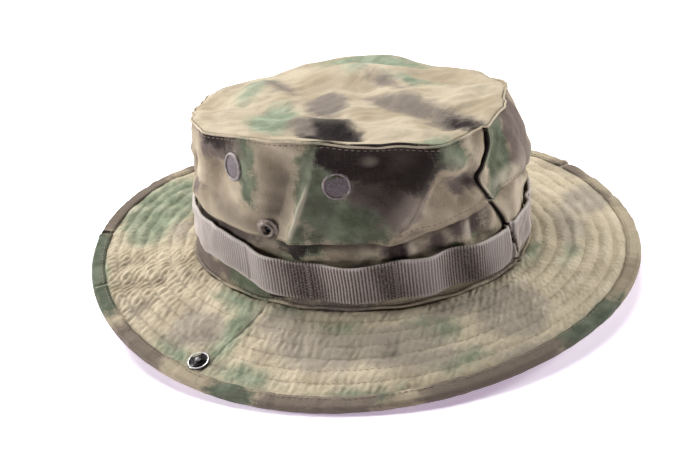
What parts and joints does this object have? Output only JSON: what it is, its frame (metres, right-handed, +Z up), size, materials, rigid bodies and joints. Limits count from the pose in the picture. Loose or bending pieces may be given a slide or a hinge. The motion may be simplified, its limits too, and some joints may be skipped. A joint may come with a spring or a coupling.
{
  "type": "boonie hat",
  "caption": "Soft camouflage sun hat with a webbing band, screened crown vents and a wide stitched brim whose sides fold up to snaps on the crown.",
  "frame": {"origin": "middle of the base, on the surface that the brim rests on", "axes": "+Z up, front of the hat towards -Y, wearer's left towards +X"},
  "size_m": [0.2928, 0.323, 0.1196],
  "materials": {
    "crown_cloth": "matte camouflage ripstop cotton",
    "tip_cloth": "matte camouflage ripstop cotton",
    "brim_cloth": "matte camouflage ripstop cotton, quilted with rows of stitching",
    "brim_under_cloth": "matte camouflage ripstop cotton, quilted with rows of stitching",
    "binding": "matte camouflage cotton strip, folded and topstitched",
    "interlining": "matte stiff woven interlining",
    "webbing": "matte ribbed cotton webbing",
    "thread": "matte polyester thread",
    "sweatband_cloth": "matte cotton twill",
    "tape": "matte cotton tape",
    "vent_metal": "satin painted brass",
    "vent_mesh": "satin painted wire mesh",
    "snap_bronze": "satin dark bronze",
    "snap_nickel": "bright nickel",
    "snap_dark": "gloss black"
  },
  "bodies": {
    "crown": {"brim_binding_front": "binding", "brim_binding_rear": "binding", "brim_interlining_front": "interlining", "brim_interlining_rear": "interlining", "brim_lower_front_centre": "brim_under_cloth", "brim_lower_rear_centre": "brim_under_cloth", "brim_upper_front_centre": "brim_cloth", "brim_upper_rear_centre": "brim_cloth", "crown_band_left": "crown_cloth", "crown_band_right": "crown_cloth", "crown_base_welt": "crown_cloth", "crown_side_left": "crown_cloth", "crown_side_right": "crown_cloth", "crown_snap_rivet_left": "snap_bronze", "crown_snap_rivet_right": "snap_bronze", "crown_snap_socket_left": "snap_bronze", "crown_snap_socket_right": "snap_bronze", "crown_tip": "tip_cloth", "crown_tip_seam": "crown_cloth", "seam_tape_back": "tape", "seam_tape_front": "tape", "seam_tape_tip": "tape", "sweatband": "sweatband_cloth", "vent_eyelet_left_front": "vent_metal", "vent_eyelet_left_rear": "vent_metal", "vent_eyelet_right_front": "vent_metal", "vent_eyelet_right_rear": "vent_metal", "vent_screen_left_front": "vent_mesh", "vent_screen_left_rear": "vent_mesh", "vent_screen_right_front": "vent_mesh", "vent_screen_right_rear": "vent_mesh", "vent_washer_left_front": "vent_metal", "vent_washer_left_rear": "vent_metal", "vent_washer_right_front": "vent_metal", "vent_washer_right_rear": "vent_metal", "webbing_band": "webbing", "webbing_bar_tacks": "thread"},
    "left_flap": {"brim_binding_left": "binding", "brim_interlining_left": "interlining", "brim_lower_front_left": "brim_under_cloth", "brim_lower_rear_left": "brim_under_cloth", "brim_side_seam_left": "brim_cloth", "brim_snap_cap_left": "snap_nickel", "brim_snap_ring_left": "snap_nickel", "brim_snap_stud_left": "snap_dark", "brim_upper_front_left": "brim_cloth", "brim_upper_rear_left": "brim_cloth"},
    "right_flap": {"brim_binding_right": "binding", "brim_interlining_right": "interlining", "brim_lower_front_right": "brim_under_cloth", "brim_lower_rear_right": "brim_under_cloth", "brim_side_seam_right": "brim_cloth", "brim_snap_cap_right": "snap_nickel", "brim_snap_ring_right": "snap_nickel", "brim_snap_stud_right": "snap_dark", "brim_upper_front_right": "brim_cloth", "brim_upper_rear_right": "brim_cloth"}
  },
  "joints": [
    {"name": "left_brim_fold", "type": "hinge", "parent": "crown", "child": "left_flap", "pos_m": [0.0915, 0, 0.02742], "axis": [0, -1, 0], "range_deg": [0, 112], "stiffness_Nm_per_rad": 0.3, "springref_deg": -8.59},
    {"name": "right_brim_fold", "type": "hinge", "parent": "crown", "child": "right_flap", "pos_m": [-0.0915, 0, 0.02742], "axis": [0, 1, 0], "range_deg": [0, 98], "stiffness_Nm_per_rad": 0.3, "springref_deg": -8.59}
  ]
}
